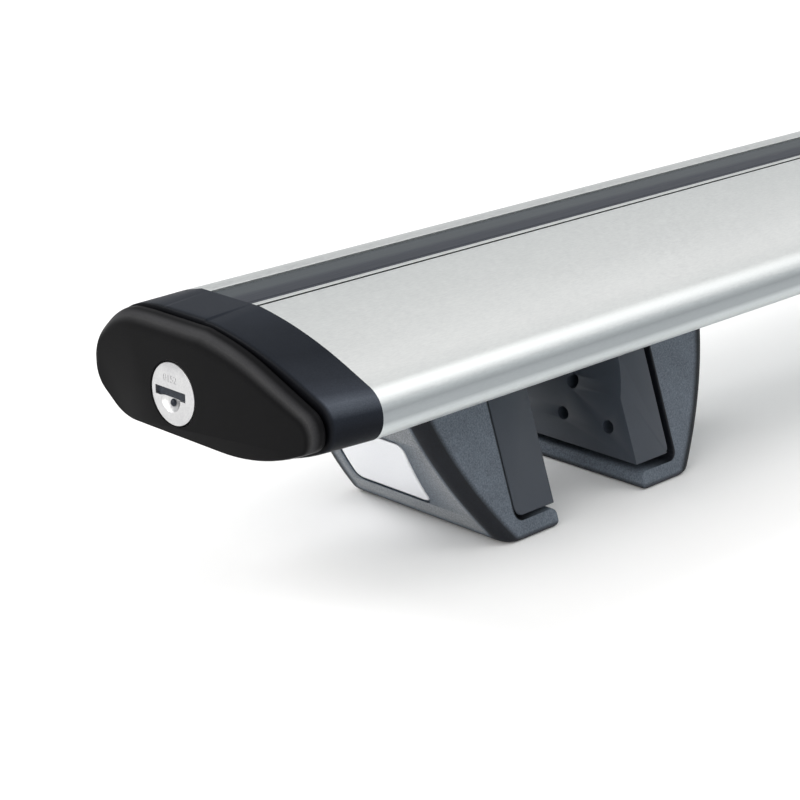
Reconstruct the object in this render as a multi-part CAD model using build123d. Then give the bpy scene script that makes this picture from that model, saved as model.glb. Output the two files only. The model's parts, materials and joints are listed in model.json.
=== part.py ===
from build123d import *

import math
import os

# Roof rack crossbar: an aluminium wing profile with a lockable cap and a rail foot at each end.
#
# Frame: +X along the bar, +Y towards the blunt leading edge, +Z up. The origin is on the ground
# under the middle of the bar, which stands on the four lips of its feet. Millimetres.
# Each end is modelled at -X and mirrored. Places along an end are given as a distance in from the
# outer face of its cap, and places across the wing as a reach from the slot line to the tail.

# Whole bar
overall_length = 1180.0
cap_length = 20.0
foot_height = 42.4

# Wing profile, outside
wing_height = 32.6
nose_reach = 31.5
tail_reach = 55.7
nose_rise = 10.1
nose_edge = 10.6
nose_under_run = 11.6
nose_crest_run = 9.1
nose_crest_drop = 2.8
tail_rise = 9.0
tail_edge = 9.7
tail_under_run = 18.4
tail_crest_run = 27.2
tail_crest_drop = 2.5
top_flat = 11.4
# How far each corner is rounded, as a share of its shorter side, from the tail's crest
# round underneath to the nose's crest
wing_rounding = [0.9, 0.53, 0.44, 0.76, 0.34, 0.51, 0.36, 0.55]

# Wing profile, inside
wing_wall = 2.0
web = 1.8
channel_half = 13.0
bottom_wall = 2.2
bottom_slot = 13.0
slot_width = 16.3
slot_lip = 2.4
slot_depth = 7.6
slot_floor = 1.8
groove_offset = 2.3
groove_width = 1.2
groove_depth = 0.9

# Slot strip
strip_fit = 0.1
strip_band = 8.2
strip_step = 0.5
strip_wall = 1.8
strip_barb = 1.6
strip_leg = 2.6

# End cap
face_top_drop = 2.2
face_tail_inset = 3.6
face_tail_drop = 2.2
face_rounding = [0.6, 0.5, 0.42, 0.7, 0.34, 0.5, 0.36, 0.6]
# The face rolls over into its rim in quarter turns of an ellipse about a place near the nose's foot
crown_depth = 3.8
crown_turns = 4
crown_centre_inset = 7.5
crown_centre_rise = 2.2
crown_width_share = 0.045
crown_height_share = 0.2
# Rings of the groove behind the rim and of the front of the skirt: distance behind the crown,
# then shares of the width and of the height
groove_rings = [(0.2, 1.0, 1.0), (0.7, 0.99, 0.972), (1.2, 0.984, 0.958)]
skirt_rings = [(1.8, 0.967, 0.94), (2.8, 0.974, 0.95)]
band_start = 5.3
band_drop = 0.8
cap_wall = 2.4
cap_floor = 4.0
plug_reach = 18.0
plug_wall = 2.0
plug_fit = 0.3
plug_root = 10.0

# Lock
lock_height = 11.2
lock_face_radius = 8.4
lock_face_depth = 1.6
lock_face_bevel = 0.3
lock_ring_gap = 0.35
lock_running_gap = 0.3
lock_core_radius = 6.0
shaft_clearance = 0.05
lock_sleeve_wall = 1.5
lock_boss_wall = 2.6
lock_sleeve_end = 24.0
lock_core_end = 24.6
lock_drive_width = 6.4
key_slot_width = 9.2
key_slot_height = 2.7
key_slot_depth = 11.0
key_slot_rise = 1.1
key_scoop_radius = 3.8
key_scoop_floor = 1.6
key_scoop_depth = 2.4
cam_thickness = 1.6
cam_reach = 12.4
cam_width = 5.6
cam_hub_radius = 5.2
cam_screw_radius = 1.6
cam_screw_head_radius = 4.0
cam_screw_head = 2.0
cam_screw_depth = 6.0
catch_play = 0.5

# Foot: rail gap and jaws
foot_inset = 121.0
jaw_face = 34.8
jaw_top_reach = 62.9
jaw_knee_reach = 39.6
jaw_bow = 3.1
jaw_bands = 5
jaw_seat_gap = 0.3
jaw_far_side = 18.8
jaw_far_flare = 1.4
jaw_near_side = 27.1
jaw_rake = 0.36
jaw_edge_round = 2.3
jaw_corner_round = 3.0
lip_thickness = 5.3
lip_nose_reach = 18.7
lip_round = 2.0
lip_turns = 3

# Foot: pads
pad_thickness = 15.6
pad_top_gap = 3.0
outer_pad_gap = 0.4
inner_pad_gap = 1.7
pad_far_inset = 1.2
pad_lip_gap = 0.3
pad_corner_round = 2.6
pad_scoop_height = 26.6
pad_scoop_depth = 3.2
pad_pin_radius = 2.05
pad_pin_recess = 5.0
pad_pin_bite = 8.0
pad_boss_radius = 4.0
pad_pin_pitch = 17.3
pad_pin_middle = 11.2
pad_pin_height = 16.7
pad_top_pin_reach = 14.3
pad_top_pin_height = 27.2

# Foot: badge plate, left bare
badge_far = -10.4
badge_near = 18.4
badge_low = 8.1
badge_high = 27.7
badge_round = 2.4
badge_thickness = 1.0
badge_gap = 0.35

# Foot: carriers in the bottom channel, standing back from their jaw's ends
carrier_front_inset = 2.2
carrier_back_inset = 1.9
carrier_fit = 0.3
carrier_plate = 2.5
carrier_lug = 7.6
carrier_lug_top = 17.6
carrier_lug_half = 9.0
carrier_lug_round = 4.0
carrier_screw_radius = 2.5
carrier_screw_head_radius = 4.2
carrier_screw_inset = 6.6
carrier_screw_pitch = 7.4
carrier_screw_bite = 13.0

# Foot: tension bolt
bolt_radius = 4.0
bolt_hole_clearance = 0.08
bolt_head_radius = 6.5
bolt_head_length = 8.0
bolt_socket_width = 6.0
bolt_socket_depth = 5.0
bolt_end_reach = 72.0
bolt_chamfer = 0.8
washer_radius = 7.4
washer_thickness = 1.6
clip_radius = 5.8
clip_thickness = 1.2
clip_gap = 0.2
clip_bite = 0.5
clip_mouth = 5.6

# How far a cut runs past a face, and a length that clears a foot either way
past = 1.0
clear = 240.0

# Worked out from the sizes above
slot_y = (tail_reach - nose_reach) / 2
wing_top = foot_height + wing_height
lock_z = foot_height + lock_height
left_end = -overall_length / 2
slot_bottom = wing_top - slot_lip - slot_depth
channel_floor = foot_height + bottom_wall
sleeve_radius = lock_core_radius + shaft_clearance + lock_sleeve_wall
lock_seat = lock_face_depth + lock_running_gap
lock_drive_end = lock_core_end + shaft_clearance + cam_thickness
jaw_top = foot_height - jaw_seat_gap
carrier_bottom = channel_floor + carrier_fit
carrier_inner = jaw_face + carrier_front_inset
carrier_outer = jaw_top_reach - carrier_back_inset
clip_seat_radius = bolt_radius - clip_bite
clip_start = -carrier_outer + carrier_lug + clip_gap
clip_span = clip_start, clip_start + clip_thickness


def at(distance):
    """X of a place a distance in from the outer face of the left cap."""
    return left_end + distance


def across(reach):
    """Y of a place a reach from the slot line towards the tail."""
    return slot_y - reach


def block(x, y, z):
    """Box between pairs of limits."""
    size = [high - low for low, high in (x, y, z)]
    middle = [(high + low) / 2 for low, high in (x, y, z)]
    return Pos(*middle) * Box(*size)


def rod(x, y, z, radius):
    """Cylinder along X between a pair of limits."""
    low, high = x
    return Pos((low + high) / 2, y, z) * Rot(0, 90, 0) * Cylinder(radius, high - low)


def rounded(corners, runs):
    """Closed face through corners (u, v), each rounded by an arc that starts a run before it."""
    points = [Vector(u, v) for u, v in corners]
    radii = []
    for index, run in enumerate(runs):
        before = points[index] - points[index - 1]
        after = points[(index + 1) % len(points)] - points[index]
        turn = math.radians(before.get_angle(after))
        radii.append(run / math.tan(turn / 2) if run else 0)
    return make_face(FilletPolyline(*points, radius=radii, close=True))


def soft_outline(corners, shares):
    """Face through corners, sharp at the first two, the others rounded by a share of their shorter side."""
    sides = [math.dist(corner, corners[index - 1]) for index, corner in enumerate(corners)]
    runs = [0, 0]
    for index, share in enumerate(shares, start=2):
        runs.append(share * min(sides[index], sides[(index + 1) % len(sides)]))
    return rounded(corners, runs)


def wing_corners():
    """Corners of the wing's outline as (y, z), from the far edge of the flat top round the tail."""
    top = wing_top
    floor = foot_height
    return [
        (across(-top_flat), top),
        (across(top_flat), top),
        (across(tail_reach - tail_crest_run), top - tail_crest_drop),
        (across(tail_reach), floor + tail_rise + tail_edge),
        (across(tail_reach), floor + tail_rise),
        (across(tail_reach - tail_under_run), floor),
        (across(-nose_reach + nose_under_run), floor),
        (across(-nose_reach), floor + nose_rise),
        (across(-nose_reach), floor + nose_rise + nose_edge),
        (across(-nose_reach + nose_crest_run), top - nose_crest_drop),
    ]


def wing_face(x, inset=0):
    """The wing's outline at X, drawn in by an inset."""
    face = soft_outline(wing_corners(), wing_rounding)
    if inset:
        face = offset(face, amount=-inset)
    return Plane.YZ.offset(x) * face


def cap_face_corners():
    """Corners of the end cap's face: the wing's, lower at the slot and drawn in at the tail."""
    top = wing_top - face_top_drop
    tail = tail_reach - face_tail_inset
    floor = foot_height
    return [
        (across(-top_flat), top),
        (across(top_flat), top),
        (across(tail - tail_crest_run), wing_top - tail_crest_drop - face_tail_drop),
        (across(tail), floor + tail_rise + tail_edge - face_tail_drop),
        (across(tail), floor + tail_rise),
        (across(tail - tail_under_run), floor),
        (across(-nose_reach + nose_under_run), floor),
        (across(-nose_reach), floor + nose_rise),
        (across(-nose_reach), floor + nose_rise + nose_edge),
        (across(-nose_reach + nose_crest_run), wing_top - nose_crest_drop),
    ]


def crown_rings():
    """Rings of the cap's flat face and of the edge that rolls over from it."""
    anchor_y = across(-nose_reach + crown_centre_inset)
    anchor_z = foot_height + crown_centre_rise
    rings = []
    for step in range(crown_turns + 1):
        turn = math.pi / 2 * step / crown_turns
        inset = 1 - math.sin(turn)
        width, height = 1 - crown_width_share * inset, 1 - crown_height_share * inset
        corners = [
            (anchor_y + width * (y - anchor_y), anchor_z + height * (z - anchor_z))
            for y, z in cap_face_corners()
        ]
        plane = Plane.YZ.offset(at(crown_depth * (1 - math.cos(turn))))
        rings.append(plane * soft_outline(corners, face_rounding))
    return rings


def drawn_ring(back, width, height, corners, rounding):
    """Outline behind the crown, drawn towards the nose's foot, and lowered from the crest to the band."""
    nose = across(-nose_reach)
    crest = across(-nose_reach + nose_crest_run)
    band_edge = across(-slot_width / 2)
    drawn = []
    for y, z in corners:
        lowered = min(max((crest - y) / (crest - band_edge), 0), 1)
        share = 1 - (1 - height) * lowered
        drawn.append((nose + width * (y - nose), foot_height + share * (z - foot_height)))
    return Plane.YZ.offset(at(crown_depth + back)) * soft_outline(drawn, rounding)


def catch_notch():
    """Notch in the floor of the T-slot that the lock's cam turns up into."""
    start = at(lock_core_end + shaft_clearance) - catch_play
    stop = start + cam_thickness + 2 * catch_play
    swing = math.sqrt(cam_reach**2 - (slot_bottom - slot_floor - lock_z) ** 2)
    sides = across(swing + cam_width / 2 + catch_play), across(-cam_width / 2 - catch_play)
    return block((start, stop), sides, (slot_bottom - slot_floor - past, slot_bottom + past))


def make_bar_profile():
    """Extruded wing: a T-slot and a fine groove on top, and a channel for the feet underneath."""
    ends = at(cap_length), -at(cap_length)
    length = ends[1] - ends[0]
    column = across(channel_half + web), across(-channel_half - web)
    hollow = extrude(wing_face(ends[0], wing_wall), length)
    hollow -= block(ends, column, (foot_height, wing_top))
    bar = extrude(wing_face(ends[0]), length) - hollow
    inner = across(channel_half), across(-channel_half)
    bar -= block(ends, inner, (channel_floor, slot_bottom - slot_floor))
    bar -= block(ends, inner, (slot_bottom, wing_top - slot_lip))
    opening = across(slot_width / 2), across(-slot_width / 2)
    bar -= block(ends, opening, (slot_bottom, wing_top + past))
    opening = across(bottom_slot / 2), across(-bottom_slot / 2)
    bar -= block(ends, opening, (foot_height - past, channel_floor))
    middle = across(slot_width / 2 + groove_offset)
    groove = middle - groove_width / 2, middle + groove_width / 2
    bar -= block(ends, groove, (wing_top - groove_depth, wing_top + past))
    bar -= catch_notch()
    bar -= mirror(catch_notch(), about=Plane.YZ)
    return bar


def make_slot_strip():
    """Rubber strip that closes the T-slot, held by two barbed legs under the lips."""
    half = slot_width / 2 - strip_fit
    lips = wing_top - slot_lip
    right = [
        (strip_band / 2, wing_top),
        (strip_band / 2 + strip_step, wing_top - strip_step),
        (half, wing_top - strip_step),
        (half, lips),
        (half + strip_barb, lips),
        (half, lips - strip_leg),
        (half - strip_leg, lips - strip_leg),
        (half - strip_leg, wing_top - strip_step - strip_wall),
    ]
    points = [(across(u), v) for u, v in right] + [(across(-u), v) for u, v in reversed(right)]
    section = Plane.YZ.offset(at(cap_length)) * make_face(Polyline(*points, close=True))
    return extrude(section, -2 * at(cap_length))


def make_end_cap():
    """Moulded cap: a crowned face, a groove behind it, a skirt flush with the wing, and a plug."""
    joint = at(cap_length)
    rings = crown_rings()
    rings += [drawn_ring(*ring, cap_face_corners(), face_rounding) for ring in groove_rings]
    rings += [drawn_ring(*ring, wing_corners(), wing_rounding) for ring in skirt_rings]
    cap = loft(rings + [wing_face(joint)], ruled=True)
    band_floor = wing_top - face_top_drop - cap_wall / 2
    side = Polyline(
        (joint, wing_top),
        (at(band_start), wing_top - band_drop),
        (at(band_start), band_floor),
        (joint, band_floor),
        close=True,
    )
    band = Plane.XZ.offset(-across(-slot_width / 2)) * make_face(side)
    cap += extrude(band, slot_width)
    hollow = drawn_ring(cap_floor - crown_depth, *groove_rings[-1][1:], cap_face_corners(), face_rounding)
    hollow = offset(hollow, amount=-cap_wall)
    cap -= loft([hollow, wing_face(joint, cap_wall)], ruled=True)
    plug_inset = wing_wall + plug_fit
    plug_end = cap_length + plug_reach
    plug = extrude(wing_face(at(plug_root), plug_inset), plug_end - plug_root)
    plug -= extrude(wing_face(at(plug_root), plug_inset + plug_wall), plug_end - plug_root)
    column = channel_half + web + plug_fit
    plug -= block((joint, at(plug_end)), (across(column), across(-column)), (foot_height, wing_top))
    cap += plug
    cap += rod((at(cap_wall), joint - plug_fit), slot_y, lock_z, sleeve_radius + lock_boss_wall)
    cap -= rod((at(-past), at(lock_seat)), slot_y, lock_z, lock_face_radius + lock_ring_gap)
    cap -= rod((at(0), joint), slot_y, lock_z, sleeve_radius)
    return cap


def make_lock_sleeve():
    """Fixed sleeve that the lock's core turns in."""
    span = at(lock_seat), at(lock_sleeve_end)
    sleeve = rod(span, slot_y, lock_z, sleeve_radius)
    return sleeve - rod(span, slot_y, lock_z, lock_core_radius + shaft_clearance)


def drive_square(x):
    """Square drive between the lock's core and its cam."""
    half = lock_drive_width / 2
    return block(x, (slot_y - half, slot_y + half), (lock_z - half, lock_z + half))


def make_lock_core():
    """Lock core: a face disc with the key slot, a round barrel and a square drive."""
    disc = rod((at(0), at(lock_face_depth)), slot_y, lock_z, lock_face_radius)
    disc = chamfer(disc.faces().sort_by(Axis.X)[0].edges(), lock_face_bevel)
    core = disc + rod((at(lock_face_depth), at(lock_core_end)), slot_y, lock_z, lock_core_radius)
    core += drive_square((at(lock_core_end), at(lock_drive_end)))
    slot_z = lock_z + key_slot_rise
    half_width, half_height = key_slot_width / 2, key_slot_height / 2
    core -= block(
        (at(0), at(key_slot_depth)),
        (slot_y - half_width, slot_y + half_width),
        (slot_z - half_height, slot_z + half_height),
    )
    scoop = Cone(key_scoop_radius, key_scoop_floor, key_scoop_depth, arc_size=180)
    core -= Pos(at(key_scoop_depth / 2), slot_y, slot_z) * Rot(-90, 0, 0) * Rot(0, 90, 0) * scoop
    core -= rod((at(lock_core_end - cam_screw_depth), at(lock_drive_end)), slot_y, lock_z, cam_screw_radius)
    return core


def make_lock_cam():
    """Flat cam on the core's drive, with the tongue that turns up behind the catch."""
    span = at(lock_core_end + shaft_clearance), at(lock_drive_end)
    half = cam_width / 2
    tongue = block(span, (slot_y - cam_reach, slot_y), (lock_z - half, lock_z + half))
    cam = rod(span, slot_y, lock_z, cam_hub_radius) + (tongue & rod(span, slot_y, lock_z, cam_reach))
    return cam - drive_square(span)


def make_cam_screw():
    """Screw that holds the cam on the core."""
    head = at(lock_drive_end)
    screw = rod((head, head + cam_screw_head), slot_y, lock_z, cam_screw_head_radius)
    screw = chamfer(screw.faces().sort_by(Axis.X)[-1].edges(), cam_screw_head / 4)
    screw += rod((at(lock_core_end - cam_screw_depth), head), slot_y, lock_z, cam_screw_radius)
    half = cam_screw_radius / 2
    sides = slot_y - cam_screw_head_radius, slot_y + cam_screw_head_radius
    slot = head + cam_screw_head / 2, head + cam_screw_head + past
    return screw - block(slot, sides, (lock_z - half, lock_z + half))


def jaw_near(z):
    """Reach of a foot's near side at a height: it rakes outwards on its way down."""
    return jaw_near_side + jaw_rake * (foot_height - z)


def jaw_far(z):
    """Reach of a foot's far side at a height."""
    return -jaw_far_side - jaw_far_flare * (1 - z / foot_height)


def jaw_back(z):
    """Distance of a jaw's bowed back from the middle of the rail gap, at a height."""
    rise = z / jaw_top
    straight = jaw_knee_reach + (jaw_top_reach - jaw_knee_reach) * rise
    return straight + 4 * jaw_bow * rise * (1 - rise)


def foot_sides(far_inset=0):
    """Prism between a foot's far side and its raked near side."""
    outline = Polyline(
        (across(jaw_far(jaw_top) + far_inset), jaw_top),
        (across(jaw_near(jaw_top)), jaw_top),
        (across(jaw_near(0)), 0),
        (across(jaw_far(0) + far_inset), 0),
        close=True,
    )
    face = Plane.YZ.offset(-clear) * make_face(outline)
    return extrude(face, 2 * clear)


def jaw_ring(z, front, drawn=0, front_drawn=0, drop=0):
    """Level section of a jaw, rounded at its back, with its sides and its front drawn in."""
    near = across(jaw_near(z)) + drawn
    far = across(jaw_far(z)) - drawn
    back = -jaw_back(z) + drawn + drop
    face = -front - front_drawn
    corners = [(face, near), (face, far), (back, far), (back, near)]
    return Plane.XY.offset(z) * rounded(corners, [0, 0, jaw_edge_round, jaw_edge_round])


def jaw_body(drop=0):
    """A jaw without its holes: an upright with a bowed back, over a lip with rounded edges."""
    turns = [math.pi / 2 * step / lip_turns for step in range(lip_turns, -1, -1)]
    steps = [(lip_round * (1 - math.sin(turn)), lip_round * (1 - math.cos(turn))) for turn in turns]
    lip = [jaw_ring(z, lip_nose_reach, drawn, drawn, drop) for z, drawn in steps]
    for z, drawn in reversed(steps):
        lip.append(jaw_ring(lip_thickness - z, lip_nose_reach, 0, drawn, drop))
    bands = [lip_thickness + (jaw_top - lip_thickness) * step / jaw_bands for step in range(jaw_bands + 1)]
    upright = [jaw_ring(z, jaw_face, drop=drop) for z in bands]
    return loft(lip, ruled=True) + loft(upright, ruled=True)


def corner_fillet():
    """Rounded inside corner between a jaw's face and its lip."""
    corner = -jaw_face, lip_thickness
    centre = corner[0] + jaw_corner_round, corner[1] + jaw_corner_round
    arc = CenterArc(centre, jaw_corner_round, 180, 90)
    sides = Polyline((centre[0], corner[1]), corner, (corner[0], centre[1]))
    prism = extrude(Plane.XZ * make_face(arc + sides), clear, both=True)
    return prism & foot_sides()


def badge_prism(gap=0):
    """Rounded rectangle behind the jaw's back, where the badge plate sits."""
    width = badge_near - badge_far + 2 * gap
    height = badge_high - badge_low + 2 * gap
    middle = across((badge_near + badge_far) / 2), (badge_high + badge_low) / 2
    face = Pos(*middle) * RectangleRounded(width, height, badge_round)
    return extrude(Plane.YZ.offset(-clear) * face, clear - jaw_face)


def pin_places():
    """Reach and height of each pin that holds a pad to its jaw."""
    row = [(pad_pin_middle + step * pad_pin_pitch, pad_pin_height) for step in (-1, 0, 1)]
    return row + [(pad_top_pin_reach, pad_top_pin_height)]


def pins(x, radius):
    """Cylinders along X at each place of a pad's pins."""
    return [rod(x, across(reach), z, radius) for reach, z in pin_places()]


def screw_places():
    """Distance from the rail gap of each screw between a carrier and its jaw."""
    first = jaw_face + carrier_screw_inset
    return [first, first + carrier_screw_pitch]


def make_jaw(pad_gap, with_badge):
    """Jaw with its pin and screw holes, and the badge's recess on the outer one."""
    jaw = jaw_body() + corner_fillet()
    face = -jaw_face + pad_gap
    for pin in pins((-jaw_face - pad_pin_bite, face), pad_pin_radius):
        jaw -= pin
    for place in screw_places():
        jaw -= Pos(-place, slot_y, jaw_top) * Cylinder(carrier_screw_radius, 2 * carrier_screw_bite)
    if with_badge:
        jaw -= badge_prism(badge_gap) & (jaw_body() - jaw_body(badge_thickness))
    return jaw


def make_badge_plate():
    """Bare plate that fills the recess in the outer jaw's back, flush with it."""
    return badge_prism() & (jaw_body() - jaw_body(badge_thickness))


def make_pad(pad_gap):
    """Rubber pad with a coved top corner, standing off its jaw on a boss round each pin."""
    back = -jaw_face + pad_gap
    face = back + pad_thickness
    low, high = lip_thickness + pad_gap + pad_lip_gap, foot_height - pad_top_gap
    pad = block((back, face), (across(clear), across(-clear)), (low, high))
    corner = pad.edges().filter_by(Axis.Y).sort_by_distance((back, 0, low))[0]
    pad = fillet(corner, pad_corner_round) & foot_sides(pad_far_inset)
    rise = high - pad_scoop_height
    radius = (rise**2 + pad_scoop_depth**2) / (2 * pad_scoop_depth)
    cove = Pos(face - pad_scoop_depth + radius, 0, high) * Rot(90, 0, 0) * Cylinder(radius, 2 * clear)
    sides = across(clear), across(pad_top_pin_reach)
    pad -= cove & block((face - pad_scoop_depth, face), sides, (pad_scoop_height, high))
    for boss in pins((-jaw_face, back), pad_boss_radius):
        pad += boss
    for pin in pins((-jaw_face, face), pad_pin_radius):
        pad -= pin
    return pad


def make_pad_pins(pad_gap):
    """Press pins sunk in the pad's face."""
    face = -jaw_face + pad_gap + pad_thickness
    return pins((-jaw_face - pad_pin_bite, face - pad_pin_recess), pad_pin_radius)


def make_carrier(hole_clearance):
    """Steel T-block that slides in the bar's channel and carries a jaw and one end of the bolt."""
    half = channel_half - carrier_fit
    top = carrier_bottom + carrier_plate
    carrier = block((-carrier_outer, -carrier_inner), (across(half), across(-half)), (carrier_bottom, top))
    half = bottom_slot / 2 - carrier_fit
    neck = block((-carrier_outer, -carrier_inner), (across(half), across(-half)), (jaw_top, carrier_bottom))
    half = carrier_lug_half
    lug = block(
        (-carrier_outer, -carrier_outer + carrier_lug),
        (across(half), across(-half)),
        (top, foot_height + carrier_lug_top),
    )
    upright = lug.edges().filter_by(Axis.X).sort_by(Axis.Z)[-2:]
    carrier += neck + fillet(upright, carrier_lug_round)
    carrier -= rod((-carrier_outer, -carrier_inner), slot_y, lock_z, bolt_radius + hole_clearance)
    for screw in make_carrier_screws():
        carrier -= screw
    return carrier


def make_carrier_screws():
    """Flush-headed screws down through the carrier into its jaw."""
    top = carrier_bottom + carrier_plate
    head = top - jaw_seat_gap
    screws = []
    for place in screw_places():
        shank = Cylinder(carrier_screw_radius, head - jaw_top + carrier_screw_bite)
        screw = Pos(-place, slot_y, (head + jaw_top - carrier_screw_bite) / 2) * shank
        depth = carrier_plate / 2
        screw += Pos(-place, slot_y, top - depth / 2) * Cylinder(carrier_screw_head_radius, depth)
        screws.append(screw)
    return screws


def make_tension_bolt():
    """Socket bolt along the bar that draws the inner jaw towards the outer one."""
    seat = -carrier_outer - washer_thickness
    head = rod((seat - bolt_head_length, seat), slot_y, lock_z, bolt_head_radius)
    head = chamfer(head.faces().sort_by(Axis.X)[0].edges(), bolt_chamfer)
    shank = rod((seat, bolt_end_reach), slot_y, lock_z, bolt_radius)
    shank = chamfer(shank.faces().sort_by(Axis.X)[-1].edges(), bolt_chamfer)
    bolt = head + shank
    socket = RegularPolygon(bolt_socket_width / 2, 6, major_radius=False)
    mouth = Plane((seat - bolt_head_length, slot_y, lock_z), z_dir=(1, 0, 0)) * socket
    bolt -= extrude(mouth, bolt_socket_depth)
    groove = rod(clip_span, slot_y, lock_z, bolt_radius + past)
    return bolt - (groove - rod(clip_span, slot_y, lock_z, clip_seat_radius))


def make_bolt_clip():
    """Retaining clip in the bolt's groove, behind the outer carrier."""
    clip = rod(clip_span, slot_y, lock_z, clip_radius)
    clip -= rod(clip_span, slot_y, lock_z, clip_seat_radius)
    half = clip_mouth / 2
    mouth = block(clip_span, (slot_y - half, slot_y + half), (lock_z, lock_z + clip_radius))
    return clip - mouth


def make_thrust_washer():
    """Washer between the bolt's head and the outer carrier."""
    span = -carrier_outer - washer_thickness, -carrier_outer
    washer = rod(span, slot_y, lock_z, washer_radius)
    return washer - rod(span, slot_y, lock_z, bolt_radius + bolt_hole_clearance)


def end_pieces():
    """The pieces of the left end, by name, in the bar's frame."""
    to_gap = Pos(at(foot_inset), 0, 0)
    outer = {
        "outer_jaw": make_jaw(outer_pad_gap, True),
        "outer_pad": make_pad(outer_pad_gap),
        "outer_pad_pins": make_pad_pins(outer_pad_gap),
        "badge_plate": make_badge_plate(),
        "outer_carrier": make_carrier(bolt_hole_clearance),
        "outer_carrier_screws": make_carrier_screws(),
        "thrust_washer": make_thrust_washer(),
        "tension_bolt": make_tension_bolt(),
        "bolt_clip": make_bolt_clip(),
    }
    inner = {
        "inner_jaw": make_jaw(inner_pad_gap, False),
        "inner_pad": make_pad(inner_pad_gap),
        "inner_pad_pins": make_pad_pins(inner_pad_gap),
        "inner_carrier": make_carrier(shaft_clearance),
        "inner_carrier_screws": make_carrier_screws(),
    }
    pieces = {
        "end_cap": make_end_cap(),
        "lock_sleeve": make_lock_sleeve(),
        "lock_core": make_lock_core(),
        "lock_cam": make_lock_cam(),
        "cam_screw": make_cam_screw(),
    }
    for name, piece in outer.items():
        pieces[name] = to_gap * solids_of(piece)
    for name, piece in inner.items():
        pieces[name] = to_gap * mirror(solids_of(piece), about=Plane.YZ)
    return pieces


def solids_of(piece):
    """One compound of a piece's solids, whether it is one solid or a group."""
    group = piece if isinstance(piece, list) else [piece]
    return Compound([solid for member in group for solid in member.solids()])


def main():
    """Write one STEP file for each piece."""
    os.makedirs("parts", exist_ok=True)
    pieces = {"bar_profile": make_bar_profile(), "slot_strip": make_slot_strip()}
    for name, piece in end_pieces().items():
        pieces[f"left_{name}"] = piece
        pieces[f"right_{name}"] = mirror(solids_of(piece), about=Plane.YZ)
    for name, piece in pieces.items():
        export_step(solids_of(piece), f"parts/{name}.step")


main()
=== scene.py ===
import bmesh
import bpy
import json
import math
from mathutils import Matrix, Vector, geometry

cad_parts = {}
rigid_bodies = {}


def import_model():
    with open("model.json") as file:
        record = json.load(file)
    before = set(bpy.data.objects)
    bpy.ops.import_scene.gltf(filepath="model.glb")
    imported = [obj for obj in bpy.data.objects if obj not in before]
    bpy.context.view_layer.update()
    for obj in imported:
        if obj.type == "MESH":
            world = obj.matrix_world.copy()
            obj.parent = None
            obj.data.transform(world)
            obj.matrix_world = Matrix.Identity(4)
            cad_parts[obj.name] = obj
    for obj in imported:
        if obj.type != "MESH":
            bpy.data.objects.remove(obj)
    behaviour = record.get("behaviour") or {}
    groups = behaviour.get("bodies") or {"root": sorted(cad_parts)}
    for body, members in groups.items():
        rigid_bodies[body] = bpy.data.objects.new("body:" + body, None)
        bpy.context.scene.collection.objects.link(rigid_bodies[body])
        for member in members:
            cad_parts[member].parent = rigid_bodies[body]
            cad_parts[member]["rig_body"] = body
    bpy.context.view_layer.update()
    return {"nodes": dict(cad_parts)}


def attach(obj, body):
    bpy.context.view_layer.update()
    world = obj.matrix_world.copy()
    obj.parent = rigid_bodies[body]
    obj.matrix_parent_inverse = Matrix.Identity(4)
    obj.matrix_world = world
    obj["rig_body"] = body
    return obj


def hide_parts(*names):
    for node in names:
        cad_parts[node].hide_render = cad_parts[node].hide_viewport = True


# Roof rack crossbar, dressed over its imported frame.
# Sizes are in millimetres and become metres where a mesh is made. x runs along the bar,
# y towards the blunt leading edge and z up. A reach is measured from the slot line to the tail.
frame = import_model()
mm = 0.001


print("frame loaded")

# Sizes that several pieces share
rack = {
    "length": 1180.0,
    "capLength": 20.0,
    "footHeight": 42.4,
    "wingHeight": 32.6,
    "nose": 31.5,
    "slotY": 12.1,
    "slotWidth": 16.3,
    "lockHeight": 11.2,
    "footInset": 121.0,
}
floorZ = rack["footHeight"]
topZ = floorZ + rack["wingHeight"]
lockZ = floorZ + rack["lockHeight"]
leftEnd = -rack["length"] / 2
joint = leftEnd + rack["capLength"]
slotY = rack["slotY"]
sideNames = {"left": 1, "right": -1}

# How finely meshes are made
making = {
    "weld": 0.002,  # points nearer than this become one
    "sharpAngle": 32,
    "cornerSteps": 8,
    "outlineSteps": 12,  # on each rounded corner of the wing and its caps
    "roundSteps": 64,
    "lockSteps": 96,
}


# Outlines and meshes
def roundedPath(corners, runs, steps=making["cornerSteps"]):
    # points round a closed outline whose corners become arcs, each starting a run before its corner
    path = []
    count = len(corners)
    for index, run in enumerate(runs):
        corner = Vector(corners[index])
        if not run:
            path.append(corner)
            continue
        before = (Vector(corners[index - 1]) - corner).normalized()
        after = (Vector(corners[(index + 1) % count]) - corner).normalized()
        half = before.angle(after) / 2
        centre = corner + (before + after).normalized() * run / math.cos(half)
        start = corner + before * run - centre
        sweep = math.pi - 2 * half
        if before.cross(after) > 0:
            sweep = -sweep
        for step in range(steps + 1):
            turn = sweep * step / steps
            cosine, sine = math.cos(turn), math.sin(turn)
            spoke = Vector((start.x * cosine - start.y * sine, start.x * sine + start.y * cosine))
            path.append(centre + spoke)
    return path


def softRuns(corners, shares):
    # runs that are shares of each corner's shorter side, none at the first two corners
    sides = [math.dist(corner, corners[index - 1]) for index, corner in enumerate(corners)]
    ahead = sides[1:] + sides[:1]
    return [0, 0] + [share * min(pair) for share, pair in zip(shares, list(zip(sides, ahead))[2:])]


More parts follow.
